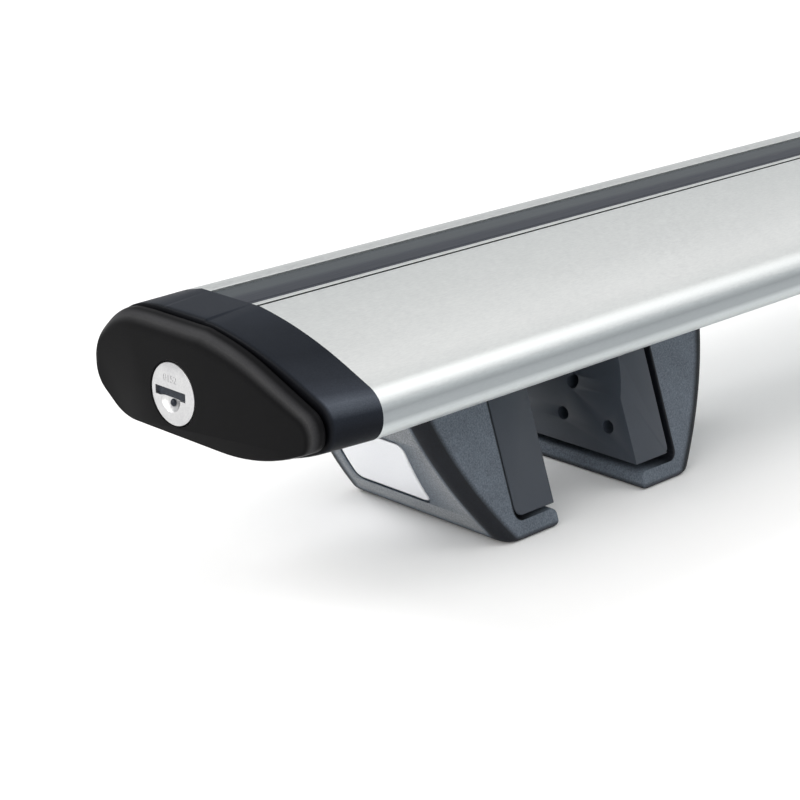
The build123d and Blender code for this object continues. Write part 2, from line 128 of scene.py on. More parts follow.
def insetTo(path, amount):
    # the same outline drawn in, whichever way round it runs
    amount = -amount if areaOf(path) < 0 else amount
    count = len(path)
    drawn = []
    for index, point in enumerate(path):
        along = path[(index + 1) % count] - path[index - 1]
        normal = Vector((-along.y, along.x)).normalized()
        drawn.append(point + normal * amount)
    return drawn


def areaOf(path):
    return sum(a.x * b.y - b.x * a.y for a, b in zip(path, path[1:] + path[:1])) / 2


def meshFrom(name, points, faces, sharpAngle=making["sharpAngle"], edges=None):
    mesh = bpy.data.meshes.new(name)
    mesh.from_pydata([tuple(c * mm for c in p) for p in points], [], faces)
    if edges:
        marks = mesh.attributes.new("edge", "FLOAT", "POINT")
        marks.data.foreach_set("value", edges)
    shell = bmesh.new()
    shell.from_mesh(mesh)
    bmesh.ops.remove_doubles(shell, verts=shell.verts, dist=making["weld"] * mm)
    bmesh.ops.recalc_face_normals(shell, faces=shell.faces)
    shell.to_mesh(mesh)
    shell.free()
    smoothen(mesh, sharpAngle)
    return mesh


def smoothen(mesh, sharpAngle):
    mesh.shade_smooth()
    mesh.set_sharp_from_angle(angle=math.radians(sharpAngle))


def setAll(thing, **settings):
    for setting, value in settings.items():
        setattr(thing, setting, value)
    return thing


def newObject(name, data):
    made = bpy.data.objects.new(name, data)
    bpy.context.scene.collection.objects.link(made)
    return made


def newPiece(name, mesh, body, slotName, nodes=(), finish=None):
    piece = newObject(name, mesh)
    mesh.materials.clear()
    mesh.materials.append(materials[finish or slotName])
    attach(piece, body)
    if nodes:
        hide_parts(*nodes)
    return piece


def applied(piece):
    # the evaluated mesh of a piece, with its modifiers removed
    graph = bpy.context.evaluated_depsgraph_get()
    mesh = bpy.data.meshes.new_from_object(piece.evaluated_get(graph))
    piece.modifiers.clear()
    return mesh


def meshOf(passing):
    # the evaluated mesh of an object that isn't needed after it
    mesh = applied(passing)
    bpy.data.objects.remove(passing)
    return mesh


def mirrored(points):
    return [(-x, y, z) for x, y, z in points]


def twoSided(points, middle=0.0):
    # the points on one side of a section's middle, then their mirror image on the way back
    return [Vector(p) for p in points + [(2 * middle - x, z) for x, z in reversed(points)]]


def atEnd(sign, shape):
    # the points and faces of a shape at the left end, or of its mirror image at the right end
    points, faces = shape
    return points if sign > 0 else mirrored(points), faces


def bothEnds(make):
    for side, sign in sideNames.items():
        make(side, sign)


def ringShell(rings, closed=True):
    # faces that join rings of as many points each
    count = len(rings[0])
    points = [point for ring in rings for point in ring]
    faces = []
    for low in range(0, count * (len(rings) - 1), count):
        for index in range(count):
            following = (index + 1) % count
            faces.append((low + index, low + following, low + count + following, low + count + index))
    if closed:
        last = len(points) - count
        faces += [tuple(range(count)), tuple(range(last, last + count))]
    return points, faces


def shifted(faces, start):
    return [tuple(start + index for index in face) for face in faces]


def addShell(shape, more):
    return shape[0] + more[0], shape[1] + shifted(more[1], len(shape[0]))


def slab(x, y, z):
    # a block, from its two sides on each axis
    corners = [(y[0], z[0]), (y[1], z[0]), (y[1], z[1]), (y[0], z[1])]
    return ringShell([[(depth, across, height) for across, height in corners] for depth in x])


def cutWith(piece, cutterMesh):
    # takes a cutter's solid out of a piece
    cutter = newObject("cutter", cutterMesh)
    cut = piece.modifiers.new("cut", "BOOLEAN")
    setAll(cut, operation="DIFFERENCE", solver="EXACT", object=cutter)
    piece.data = applied(piece)
    bpy.data.objects.remove(cutter)


def cutShape(piece, shape, edges=None):
    cutWith(piece, meshFrom("cutter", *shape, edges=edges))


def rodRings(radii, y, z, steps=making["roundSteps"]):
    # rings of a turned shape along x, from (x, radius) rows
    turns = [2 * math.pi * step / steps for step in range(steps)]
    return [[(x, y + r * math.cos(t), z + r * math.sin(t)) for t in turns] for x, r in radii]


def endRings(radii, y, z, steps=making["roundSteps"]):
    # the same, from (distance behind the left end, radius) rows
    return rodRings([(leftEnd + distance, radius) for distance, radius in radii], y, z, steps)


def quarterTurn(radius, steps):
    # how far a rounded edge is drawn in, and what is left of its height, at steps of a quarter turn
    turns = [math.pi / 2 * step / steps for step in range(steps + 1)]
    return [(radius * (1 - math.cos(turn)), radius * (1 - math.sin(turn))) for turn in turns]


# Materials
def setSockets(tree, node, inputs):
    # a node's inputs become fixed values or other nodes' outputs
    for socket, value in dict(inputs).items():
        if isinstance(value, bpy.types.NodeSocket):
            tree.links.new(value, node.inputs[socket])
        else:
            node.inputs[socket].default_value = value


def addNode(tree, kind, inputs=(), **settings):
    node = setAll(tree.nodes.new(kind), **settings)
    setSockets(tree, node, inputs)
    return node


def newMaterial(name, color, roughness, metallic=0.0):
    material = bpy.data.materials.new(name)
    material.use_nodes = True
    tree = material.node_tree
    shader = tree.nodes["Principled BSDF"]
    setSockets(tree, shader, {"Base Color": (*color, 1), "Roughness": roughness, "Metallic": metallic})
    return material, tree, shader


def addMath(tree, operation, *values):
    return addNode(tree, "ShaderNodeMath", enumerate(values), operation=operation).outputs[0]


def addNoise(tree, place, size, detail=2.0, rough=0.5):
    inputs = {"Scale": 1 / (size * mm), "Detail": detail, "Roughness": rough, "Vector": place}
    return addNode(tree, "ShaderNodeTexNoise", inputs).outputs["Fac"]


def addRange(tree, source, low, high, newLow=0, newHigh=1):
    inputs = {"From Min": low, "From Max": high, "To Min": newLow, "To Max": newHigh, "Value": source}
    return addNode(tree, "ShaderNodeMapRange", inputs).outputs["Result"]


def addMix(tree, share, first, second, blend="MIX"):
    inputs = {"Factor": share, "A": first, "B": second}
    return addNode(tree, "ShaderNodeMix", inputs, data_type="RGBA", blend_type=blend).outputs["Result"]


def addColors(tree, share, dark, light):
    return addMix(tree, share, (*dark, 1), (*light, 1))


def addTint(tree, color, tint):
    return addMix(tree, 1.0, color, tint, "MULTIPLY")


def addTones(tree, color, share, tones):
    # a ramp of tones over a share that runs from the first tone's place to the last one's
    first, last = tones[0][0], tones[-1][0]
    ramp = addNode(tree, "ShaderNodeValToRGB", {0: share})
    stops = ramp.color_ramp.elements
    while len(stops) < len(tones):
        stops.new(0.5)
    for stop, (distance, tone) in zip(stops, tones):
        stop.position = (distance - first) / (last - first)
        stop.color = (*tone, 1)
    return addTint(tree, color, ramp.outputs["Color"])


def axisOf(tree, place, axis):
    return addNode(tree, "ShaderNodeSeparateXYZ", {0: place}).outputs[axis]


def addDepth(tree, place, near, far):
    # a share that rises between two distances in from either end of the bar
    span = addMath(tree, "ABSOLUTE", axisOf(tree, place, "X"))
    return addRange(tree, span, (-leftEnd - near) * mm, (-leftEnd - far) * mm)


def addPaintedLightAlong(tree, place, color, tones):
    # painted light and shade: tones that follow the distance in from either end of the bar
    return addTones(tree, color, addDepth(tree, place, 0, tones[-1][0]), tones)


def addPaintedLightByHeight(tree, place, color, tall):
    # painted light and shade: tones that follow the height, from the top of the wing, and may start some way
    # in from the ends
    tones, start = tall["tones"], tall.get("start")
    heights = [(topZ + tones[end][0]) * mm for end in (0, -1)]
    tinted = addTones(tree, color, addRange(tree, axisOf(tree, place, "Z"), *heights), tones)
    if start is None:
        return tinted
    return addMix(tree, addDepth(tree, place, start, start + 1), color, tinted)


def addPaintedLightAcross(tree, place, color, across):
    # painted light and shade: a change of tone between two places across the bar
    near, far = [(slotY - reach) * mm for reach in across["reaches"]]
    share = addRange(tree, axisOf(tree, place, "Y"), near, far)
    return addTint(tree, color, addColors(tree, share, across["near"], across["far"]))


def addPaintedGrooveShade(tree, place, color, groove):
    # painted shade: a darker tone in the bar's fine groove
    offset = addMath(tree, "SUBTRACT", axisOf(tree, place, "Y"), (slotY - groove["reach"]) * mm)
    half, fade = groove["half"], groove["fade"]
    inside = addRange(tree, addMath(tree, "ABSOLUTE", offset), half * mm, (half + fade) * mm, 1, 0)
    low, high = [(topZ - drop) * mm for drop in groove["drops"]]
    below = addRange(tree, axisOf(tree, place, "Z"), low, high, 1, 0)
    both = addMath(tree, "MULTIPLY", inside, below)
    return addTint(tree, color, addColors(tree, both, (1, 1, 1), groove["tone"]))


# What a finish has where it says nothing else
plainFinish = {
    "metallic": 0.0,
    "stretch": (1, 1, 1),
    "grainDetail": (3.0, 0.6),  # detail and roughness of the fine noise
    "grainSpan": (0.3, 0.7),  # the part of the noise that is spread over the tones
    "cloudShare": 0.3,
    "glossSpread": 0.06,
    "sockets": {},
}


def grainedMaterial(finish):
    # a surface with a fine grain in its colour, gloss and relief, over a slow change of tone
    finish = {**plainFinish, **finish}
    rough, spread = finish["roughness"], finish["glossSpread"]
    material, tree, shader = newMaterial(finish["name"], finish["light"], rough, finish["metallic"])
    place = addNode(tree, "ShaderNodeTexCoord").outputs["Object"]
    stretch = addNode(tree, "ShaderNodeMapping", {"Scale": finish["stretch"], "Vector": place}).outputs[0]
    grain = addNoise(tree, stretch, finish["grain"], *finish["grainDetail"])
    cloud = addNoise(tree, stretch, finish["cloud"])
    blend = addMath(tree, "MULTIPLY_ADD", cloud, finish["cloudShare"], grain)
    low, high = finish["grainSpan"]
    shift = finish["cloudShare"] / 2
    color = addColors(tree, addRange(tree, blend, low + shift, high + shift), finish["dark"], finish["light"])
    if "edge" in finish:
        # the mesh's own attribute is 1 on rounded edges and in recesses, which are painted dark as shade, and
        # -1 on the outer face, which is painted lighter as light
        marks = addNode(tree, "ShaderNodeAttribute", attribute_name="edge").outputs["Fac"]
        tones = [(-1, finish["outer"]), (0, (1, 1, 1)), (1, finish["edge"])]
        color = addTones(tree, color, addRange(tree, marks, -1, 1), tones)
    # changes of tone by place, which paint light and shade into the colour
    changes = {"across": addPaintedLightAcross, "groove": addPaintedGrooveShade, "tall": addPaintedLightByHeight, "along": addPaintedLightAlong}
    for kind, addChange in changes.items():
        if kind in finish:
            color = addChange(tree, place, color, finish[kind])
    gloss = addRange(tree, grain, low, high, rough - spread, rough + spread)
    bump = {"Distance": finish["relief"] * mm, "Strength": 1.0, "Height": grain}
    relief = addNode(tree, "ShaderNodeBump", bump).outputs["Normal"]
    setSockets(tree, shader, {"Base Color": color, "Roughness": gloss, "Normal": relief, **finish["sockets"]})
    return material


finishes = {
    "bar_aluminium": {
        "name": "anodisedAluminium", "metallic": 1.0, "roughness": 0.42,
        "light": (0.84, 0.86, 0.85), "dark": (0.76, 0.78, 0.775),
        "grain": 0.45, "stretch": (0.25, 1, 1), "cloud": 16.0, "relief": 0.006,
        # painted shade darkens the fine groove
        "groove": {
            "reach": 10.45, "half": 0.62, "fade": 0.05, "drops": (0.35, 0.05), "tone": (0.10, 0.11, 0.12),
        },
        # painted shade: the rounded edges are painted greyer under their bright ridge
        "tall": {"tones": [
            (-23.0, (0.94, 0.96, 0.97)), (-21.6, (0.76, 0.79, 0.81)), (-20.2, (0.42, 0.44, 0.46)),
            (-17.4, (0.40, 0.42, 0.44)), (-16.2, (0.66, 0.69, 0.71)), (-15.0, (0.88, 0.89, 0.90)),
            (-12.5, (0.80, 0.80, 0.80)), (-10.0, (0.90, 0.89, 0.89)), (0.0, (0.97, 0.97, 0.97)),
        ]},
        "sockets": {"Specular Tint": (0.68, 0.69, 0.70, 1.0)},
    },
    "strip_rubber": {
        "name": "stripRubber", "roughness": 0.5,
        "light": (0.048, 0.058, 0.066), "dark": (0.032, 0.039, 0.045),
        "grain": 0.5, "stretch": (0.06, 1, 1), "cloud": 3.0, "relief": 0.006,
        # painted light: the far half of the strip's band is painted lighter and the near half darker
        "across": {"reaches": (1.6, -0.6), "near": (0.50, 0.50, 0.62), "far": (1, 1, 1)},
        "sockets": {"Specular IOR Level": 0.3},
    },
    "cap_plastic": {
        "name": "capPlastic", "roughness": 0.40,
        "light": (0.062, 0.062, 0.064), "dark": (0.040, 0.040, 0.042),
        "grain": 0.28, "cloud": 12.0, "relief": 0.03,
        # painted light and shade: the face is painted darkest, its rim paler as a painted highlight, the
        # groove behind it dark as painted shade, and the skirt is a cooler grey
        "along": [
            (0.0, (0.05, 0.05, 0.055)), (0.2, (0.07, 0.07, 0.075)), (0.9, (0.66, 0.66, 0.66)),
            (1.4, (0.56, 0.56, 0.58)), (2.6, (0.10, 0.10, 0.11)), (5.2, (0.03, 0.03, 0.04)),
            (6.4, (0.24, 0.29, 0.38)), (20.0, (0.24, 0.29, 0.38)),
        ],
        # a painted highlight on the tail's crest, with painted shade lower down
        "tall": {"start": 5.6, "tones": [
            (-27.0, (0.35, 0.35, 0.38)), (-20.0, (0.55, 0.55, 0.58)), (-16.8, (1.20, 1.20, 1.20)),
            (-14.8, (4.60, 4.40, 4.00)), (-13.6, (5.60, 5.30, 4.80)), (-12.0, (2.40, 2.30, 2.20)),
            (-10.0, (1.50, 1.45, 1.40)), (-6.0, (0.85, 0.85, 0.85)), (-2.5, (1.0, 1.0, 1.0)),
            (0.0, (1.35, 1.35, 1.35)),
        ]},
        "sockets": {"Specular IOR Level": 0.05},
    },
    "jaw_plastic": {
        "name": "texturedJawPlastic", "roughness": 0.55,
        "light": (0.148, 0.176, 0.214), "dark": (0.062, 0.075, 0.092),
        "grain": 0.45, "cloud": 10.0, "cloudShare": 0.2, "relief": 0.08,
        # painted shade on rounded edges and in recesses, and painted light on the outer face
        "edge": (0.05, 0.055, 0.07),
        "outer": (2.10, 1.86, 1.62),
        "sockets": {"Specular IOR Level": 0.25},
    },
    "pad_rubber": {
        "name": "padRubber", "roughness": 0.5,
        "light": (0.036, 0.045, 0.061), "dark": (0.028, 0.036, 0.049),
        "grain": 0.3, "cloud": 8.0, "relief": 0.008,
    },
    "pin_plastic": {
        "name": "pinPlastic", "roughness": 0.4,
        "light": (0.02, 0.02, 0.022), "dark": (0.012, 0.012, 0.014),
        "grain": 0.3, "cloud": 4.0, "relief": 0.01,
    },
    "lock_satin": {
        "name": "satinLockFace", "metallic": 1.0, "roughness": 0.36,
        "light": (0.62, 0.62, 0.62), "dark": (0.49, 0.49, 0.50),
        "grain": 0.3, "cloud": 3.0, "relief": 0.012,
    },
    "zinc": {
        "name": "brightZinc", "metallic": 1.0, "roughness": 0.34,
        "light": (0.66, 0.67, 0.69), "dark": (0.5, 0.51, 0.53),
        "grain": 0.6, "cloud": 4.0, "relief": 0.012,
    },
    "steel": {
        "name": "platedSteel", "metallic": 1.0, "roughness": 0.3,
        "light": (0.62, 0.62, 0.63), "dark": (0.44, 0.44, 0.46),
        "grain": 0.5, "cloud": 5.0, "relief": 0.01,
    },
    "key_shutter": {
        "name": "darkKeyShutter", "roughness": 0.35,
        "light": (0.020, 0.026, 0.038), "dark": (0.004, 0.005, 0.008),
        "grain": 0.3, "cloud": 1.2, "relief": 0.02,
        "sockets": {"Specular IOR Level": 0.2},
    },
    "spring_steel": {
        "name": "blackSpringSteel", "metallic": 1.0, "roughness": 0.35,
        "light": (0.16, 0.16, 0.17), "dark": (0.09, 0.09, 0.1),
        "grain": 0.4, "cloud": 3.0, "relief": 0.008,
    },
    "badge": {
        "name": "bareBadge", "metallic": 0.2, "roughness": 0.3, "glossSpread": 0.02,
        "light": (0.90, 0.91, 0.94), "dark": (0.86, 0.875, 0.91),
        "grain": 0.4, "cloud": 10.0, "relief": 0.0006,
        "sockets": {"Coat Weight": 1.0, "Coat Roughness": 0.04},
    },
}
materials = {slotName: grainedMaterial(finish) for slotName, finish in finishes.items()}
print("materials made")


# The bar and its strip, drawn out along x
drawing = {"weld": 0.001, "sharpAngle": 24}


def extrusionTree():
    # a flat section drawn out along x into a closed bar
    tree = bpy.data.node_groups.new("drawnSection", "GeometryNodeTree")
    labels = [("Geometry", "Geometry"), ("Length", "Float"), ("Start", "Float"), ("Material", "Material")]
    for label, kind in labels:
        tree.interface.new_socket(label, in_out="INPUT", socket_type="NodeSocket" + kind)
    tree.interface.new_socket("Geometry", in_out="OUTPUT", socket_type="NodeSocketGeometry")
    given = addNode(tree, "NodeGroupInput").outputs
    along = addNode(tree, "ShaderNodeCombineXYZ", {"X": 1.0}).outputs[0]
    draw = addNode(tree, "GeometryNodeExtrudeMesh", {
        "Mesh": given["Geometry"], "Offset": along, "Offset Scale": given["Length"], "Individual": False,
    }, mode="FACES")
    back = addNode(tree, "GeometryNodeFlipFaces", {"Mesh": given["Geometry"]})
    join = addNode(tree, "GeometryNodeJoinGeometry", {0: draw.outputs["Mesh"]})
    tree.links.new(back.outputs["Mesh"], join.inputs[0])
    weld = {"Distance": drawing["weld"] * mm, "Geometry": join.outputs[0]}
    welded = addNode(tree, "GeometryNodeMergeByDistance", weld).outputs[0]
    place = addNode(tree, "ShaderNodeCombineXYZ", {"X": given["Start"]}).outputs[0]
    shift = addNode(tree, "GeometryNodeTransform", {"Translation": place, "Geometry": welded})
    real = addNode(tree, "GeometryNodeRealizeInstances", {0: shift.outputs[0]})
    paint = {"Geometry": real.outputs[0], "Material": given["Material"]}
    painted = addNode(tree, "GeometryNodeSetMaterial", paint).outputs[0]
    addNode(tree, "NodeGroupOutput", {0: painted})
    return tree


def setInputs(modifier, values):
    # a tree's inputs, found by name and set by identifier
    for item in modifier.node_group.interface.items_tree:
        if item.item_type == "SOCKET" and item.in_out == "INPUT" and item.name in values:
            modifier[item.identifier] = values[item.name]


def drawnPiece(name, loops, slotName, node):
    # loops: the outline of the section, then its holes, as (reach, z) points
    flat = [[Vector((0, slotY - p.x, p.y)) for p in loop] for loop in loops]
    faces = geometry.tessellate_polygon(flat)
    section = meshFrom(name + "Section", [point for loop in flat for point in loop], faces)
    if section.polygons[0].normal.x < 0:
        section.flip_normals()
    carrier = newObject(name + "Carrier", section)
    modifier = carrier.modifiers.new("draw", "NODES")
    modifier.node_group = extrusionTree()
    values = {"Length": -2 * joint * mm, "Start": joint * mm, "Material": materials[slotName]}
    setInputs(modifier, values)
    mesh = meshOf(carrier)
    smoothen(mesh, drawing["sharpAngle"])
    return newPiece(name, mesh, "bar", slotName, [node])


wing = {
    "corners": [
        (-11.4, 0.0), (11.4, 0.0), (28.5, -2.5), (55.7, -13.9), (55.7, -23.6),
        (37.3, -32.6), (-19.9, -32.6), (-31.5, -22.5), (-31.5, -11.9), (-22.4, -2.8),
    ],  # (reach, height under the top)
    "rounding": [0.9, 0.53, 0.44, 0.76, 0.34, 0.51, 0.36, 0.55],  # shares, from the third corner on
    "wall": 2.0,
    "web": 1.8,
    "channelHalf": 13.0,
    "channelFloor": 2.2,
    "slotFloor": 1.8,
    "bottomSlot": 13.0,
    "lip": 2.4,
    "slotDepth": 7.6,
    "grooveOffset": 2.3,
    "grooveWidth": 1.2,
    "grooveDepth": 0.9,
    "edge": 0.04,
}
wingCorners = [(reach, topZ + drop) for reach, drop in wing["corners"]]
lipZ = topZ - wing["lip"]
slotFloorZ = lipZ - wing["slotDepth"]
roofZ = slotFloorZ - wing["slotFloor"]
webEdge = wing["channelHalf"] + wing["web"]


def wingOutline():
    # from the near edge of the flat top round the tail and the nose to the far edge
    path = roundedPath(wingCorners, softRuns(wingCorners, wing["rounding"]), making["outlineSteps"])
    return path[1:] + path[:1]


def barSection():
    half, edge, wide, low = rack["slotWidth"] / 2, wing["edge"], wing["channelHalf"], wing["bottomSlot"] / 2
    channelZ, grooveZ = floorZ + wing["channelFloor"], topZ - wing["grooveDepth"]
    middle, groove = half + wing["grooveOffset"], wing["grooveWidth"] / 2
    start = middle - groove
    outline = wingOutline()
    tailSide = [p for p in outline if p.x > middle + groove + edge]
    noseSide = [p for p in outline if p.x < -half - edge]
    channel = [(low + edge, floorZ), (low, floorZ + edge), (low, channelZ), (wide, channelZ), (wide, roofZ)]
    slot = [(-half - edge, topZ), (-half, topZ - edge), (-half, lipZ), (-wide, lipZ), (-wide, slotFloorZ)]
    fine = [(start - edge, topZ), (start, topZ - edge), (start, grooveZ)]
    return tailSide + twoSided(channel) + noseSide + twoSided(slot) + twoSided(fine, middle)


def hollow(side, depth, limit):
    # the wing's outline drawn in, on one side of a line along the bar
    kept = [p for p in insetTo(wingOutline(), depth) if side * p.x > limit]
    return [Vector((side * limit, kept[0].y))] + kept + [Vector((side * limit, kept[-1].y))]


chambers = [hollow(side, wing["wall"], webEdge) for side in (1, -1)]
barPiece = drawnPiece("barProfile", [barSection(), *chambers], "bar_aluminium", "bar_profile")

# The notch in the T-slot's floor that each lock's cam turns up into
catch = {
    "start": 24.15,  # from the end of the bar
    "length": 2.6,
    "camReach": 12.4,
    "camWidth": 5.6,
    "play": 0.5,
    "overrun": 0.5,  # how far the cutter passes the slot's floor
}


def notchShell():
    side = catch["camWidth"] / 2 + catch["play"]
    swing = math.sqrt(catch["camReach"] ** 2 - (roofZ - lockZ) ** 2)
    start, over = leftEnd + catch["start"], catch["overrun"]
    across = slotY - swing - side, slotY + side
    return slab((start, start + catch["length"]), across, (roofZ - over, slotFloorZ + over))


for sign in sideNames.values():
    cutShape(barPiece, atEnd(sign, notchShell()))
smoothen(barPiece.data, drawing["sharpAngle"])

strip = {
    "fit": 0.1,
    "fall": 0.3,  # how far the near half of the band falls
    "farShare": 0.3,  # of that fall, on the far half
    "fallPower": 1.5,
    "band": 5.6,
    "bandRows": 14,
    "bandFoot": 0.35,
    "step": 0.5,
    "rimRound": 0.3,
    "wall": 1.8,
    "barb": 1.6,
    "leg": 2.6,
}


def stripSection():
    half = rack["slotWidth"] / 2 - strip["fit"]
    band, rows = strip["band"], strip["bandRows"]
    rim, soft, leg = topZ - strip["step"], strip["rimRound"], strip["leg"]
    top = []
    for row in range(rows + 1):
        reach = -band + 2 * band * row / rows
        share = max(reach / band, -strip["farShare"] * reach / band)
        top.append(Vector((reach, topZ - strip["fall"] * share ** strip["fallPower"])))
    return top + twoSided([
        (band + strip["bandFoot"], rim), (half - soft, rim), (half, rim - soft), (half, lipZ),
        (half + strip["barb"], lipZ), (half, lipZ - leg), (half - leg, lipZ - leg),
        (half - leg, rim - strip["wall"]),
    ])


drawnPiece("slotStrip", [stripSection()], "strip_rubber", "slot_strip")
print("bar and strip made")

# End caps
cap = {
    "faceTopDrop": 2.2,
    "faceTailInset": 3.6,
    "faceTailDrop": 2.2,
    "faceRounding": [0.6, 0.5, 0.42, 0.7, 0.34, 0.5, 0.36, 0.6],
    "crownDepth": 3.8,
    "crownTurns": 14,
    "crownCentre": (-24.0, 2.2),  # reach, height over the wing's floor
    "crownShares": (0.045, 0.2),  # of the width, of the height
    # distance behind the crown, then shares of the width and of the height
    "grooveRings": [(0.0, 1.0, 1.0), (0.25, 1.0, 0.998), (0.7, 0.989, 0.968), (1.15, 0.982, 0.95)],
    "skirtRings": [(1.75, 0.966, 0.938), (2.2, 0.971, 0.946), (2.9, 0.974, 0.951)],
    "smoothParts": 3,
    "blendSteps": (4, 10),  # from the groove to the skirt, and on to the wing
    "bandStart": 5.3,
    "bandDrop": 1.25,
    "bandFront": 1.8,  # length over which the band comes up
    "wall": 2.4,
    "floor": 4.0,
    "plugRoot": 10.0,
    "plugReach": 18.0,
    "plugFit": 0.3,
    "plugWall": 2.0,
    "seatRadius": 8.75,
    "seatDepth": 1.9,
    "seatRim": 0.2,
    "seatOverrun": (2, 1),  # how far the seat's cutter passes the cap's face and floor
    "boreRadius": 7.55,
    "bossRadius": 10.15,
    "sharpAngle": 40,
}
# places across half of the flat top, and how much of the band's rise each one takes
bandWeights = {0: 1, 3: 1, 6: 1, 7.6: 1, 7.9: 0.93, 8.15: 0.6, 8.4: 0.12, 8.7: 0, 9.4: 0, 11.4: 0}
topReaches = [-reach for reach in reversed(bandWeights) if reach] + list(bandWeights)


def smoothed(before, here, ahead, after, t):
    # a smooth curve through four numbers, a share t of the way from the second to the third
    bend = 2 * before - 5 * here + 4 * ahead - after
    twist = 3 * here - before - 3 * ahead + after
    return 0.5 * (2 * here + (ahead - before) * t + bend * t**2 + twist * t**3)


def smoothRows(rows):
    # rows of numbers with more between them, on a smooth curve through each
    parts = cap["smoothParts"]
    padded = [rows[0], *rows, rows[-1]]
    fine = []
    for near in zip(padded, padded[1:], padded[2:], padded[3:]):
        for part in range(parts):
            fine.append(tuple(smoothed(*numbers, part / parts) for numbers in zip(*near)))
    return fine + [rows[-1]]


def capRing(corners, shares):
    # a rounded outline with its flat top divided where the band's edges run
    path = roundedPath(corners, softRuns(corners, shares), making["outlineSteps"])
    half = topReaches[-1]
    return [path[0].lerp(path[1], (reach + half) / (2 * half)) for reach in topReaches] + path[2:]


def faceCorners():
    # the wing's corners, lower at the slot and drawn in at the tail
    inset, drop, top = cap["faceTailInset"], cap["faceTailDrop"], cap["faceTopDrop"]
    lowered = [top, top, drop, drop, 0, 0, 0, 0, 0, 0]
    drawn = [0, 0, inset, inset, inset, inset, 0, 0, 0, 0]
    return [(r - i, z - d) for (r, z), i, d in zip(wingCorners, drawn, lowered)]


def crownRows():
    # the flat face, and its edge that rolls over in quarter turns
    middle, rise = cap["crownCentre"]
    middleZ = floorZ + rise
    rows = []
    for back, left in quarterTurn(1, cap["crownTurns"]):
        wide, high = [1 - share * left for share in cap["crownShares"]]
        corners = [(middle + wide * (r - middle), middleZ + high * (z - middleZ)) for r, z in faceCorners()]
        rows.append((cap["crownDepth"] * back, capRing(corners, cap["faceRounding"])))
    return rows


def drawnRow(back, wide, high, corners, shares):
    # an outline behind the crown, drawn towards the nose's foot and lowered from the crest to the band
    crest = -corners[-1][0]
    bandEdge = rack["slotWidth"] / 2
    drawn = []
    for r, z in corners:
        lowered = min(max((crest + r) / (crest - bandEdge), 0), 1)
        share = 1 - (1 - high) * lowered
        drawn.append((wide * (r + rack["nose"]) - rack["nose"], floorZ + share * (z - floorZ)))
    return cap["crownDepth"] + back, capRing(drawn, shares)


def blendRows(first, last, steps, soft):
    # rows between two, straight or with soft ends
    rows = []
    for step in range(1, steps + 1):
        t = step / steps
        share = (1 - math.cos(math.pi * t)) / 2 if soft else t
        distance = first[0] + (last[0] - first[0]) * t
        rows.append((distance, [a.lerp(b, share) for a, b in zip(first[1], last[1])]))
    return rows


def capRows():
    grooveRows, skirtRows = [smoothRows(cap[rings]) for rings in ("grooveRings", "skirtRings")]
    rows = crownRows()
    rows += [drawnRow(*row, faceCorners(), cap["faceRounding"]) for row in grooveRows[1:]]
    skirt = [drawnRow(*row, wingCorners, wing["rounding"]) for row in skirtRows]
    toSkirt, toWing = cap["blendSteps"]
    rows += blendRows(rows[-1], skirt[0], toSkirt, True) + skirt[1:]
    wingEnd = rack["capLength"], capRing(wingCorners, wing["rounding"])
    return rows + blendRows(rows[-1], wingEnd, toWing, False)


def liftBand(distance, ring):
    # the raised band in line with the strip, with soft sides and a soft front
    behind = distance - cap["bandStart"]
    if behind <= 0:
        return ring
    rise = math.sin(math.pi / 2 * min(behind / cap["bandFront"], 1))
    level = topZ - cap["bandDrop"] * (1 - behind / (rack["capLength"] - cap["bandStart"]))
    lifted = list(ring)
    for index, reach in enumerate(topReaches):
        x, y = ring[index]
        lifted[index] = Vector((x, y + max(level - y, 0) * bandWeights[abs(reach)] * rise))
    return lifted


def placed(distance, ring):
    return [(leftEnd + distance, slotY - p.x, p.y) for p in ring]


def capShell():
    outer = [placed(distance, liftBand(distance, ring)) for distance, ring in capRows()]
    mouth = insetTo(capRing(wingCorners, wing["rounding"]), cap["wall"])
    last = cap["grooveRings"][-1][1:]
    inner = insetTo(drawnRow(0, *last, faceCorners(), cap["faceRounding"])[1], cap["wall"])
    return ringShell(outer + [placed(rack["capLength"], mouth), placed(cap["floor"], inner)])


def plugWalls():
    # the two hooked walls that push into the wing's hollows
    fit = cap["plugFit"]
    depths = wing["wall"] + fit, wing["wall"] + fit + cap["plugWall"]
    shell = [], []
    for side in (1, -1):
        outer, inner = [hollow(side, depth, webEdge + fit) for depth in depths]
        section = outer + list(reversed(inner))
        ends = geometry.tessellate_polygon([[Vector((0, p.x, p.y)) for p in section]])
        rings = [placed(cap["plugRoot"], section), placed(rack["capLength"] + cap["plugReach"], section)]
        points, faces = ringShell(rings, False)
        faces += shifted(ends, 0) + shifted(ends, len(section))
        shell = addShell(shell, (points, faces))
    return shell


def lockBoss():
    near, far = cap["floor"], rack["capLength"] - cap["plugFit"]
    boss, bore = cap["bossRadius"], cap["boreRadius"]
    rings = endRings([(near, boss), (far, boss), (far, bore), (near, bore)], slotY, lockZ)
    return ringShell(rings + [rings[0]], False)


def lockCutter():
    # seat of the lock's face, with a softened rim, and the bore behind it
    radius, bore, depth = cap["seatRadius"], cap["boreRadius"], cap["seatDepth"]
    rim, (front, back) = cap["seatRim"], cap["seatOverrun"]
    rows = [(-front, radius + rim), (0, radius + rim), (rim, radius), (depth, radius)]
    rows += [(depth, bore), (cap["floor"] + back, bore)]
    return ringShell(endRings(rows, slotY, lockZ, making["lockSteps"]))


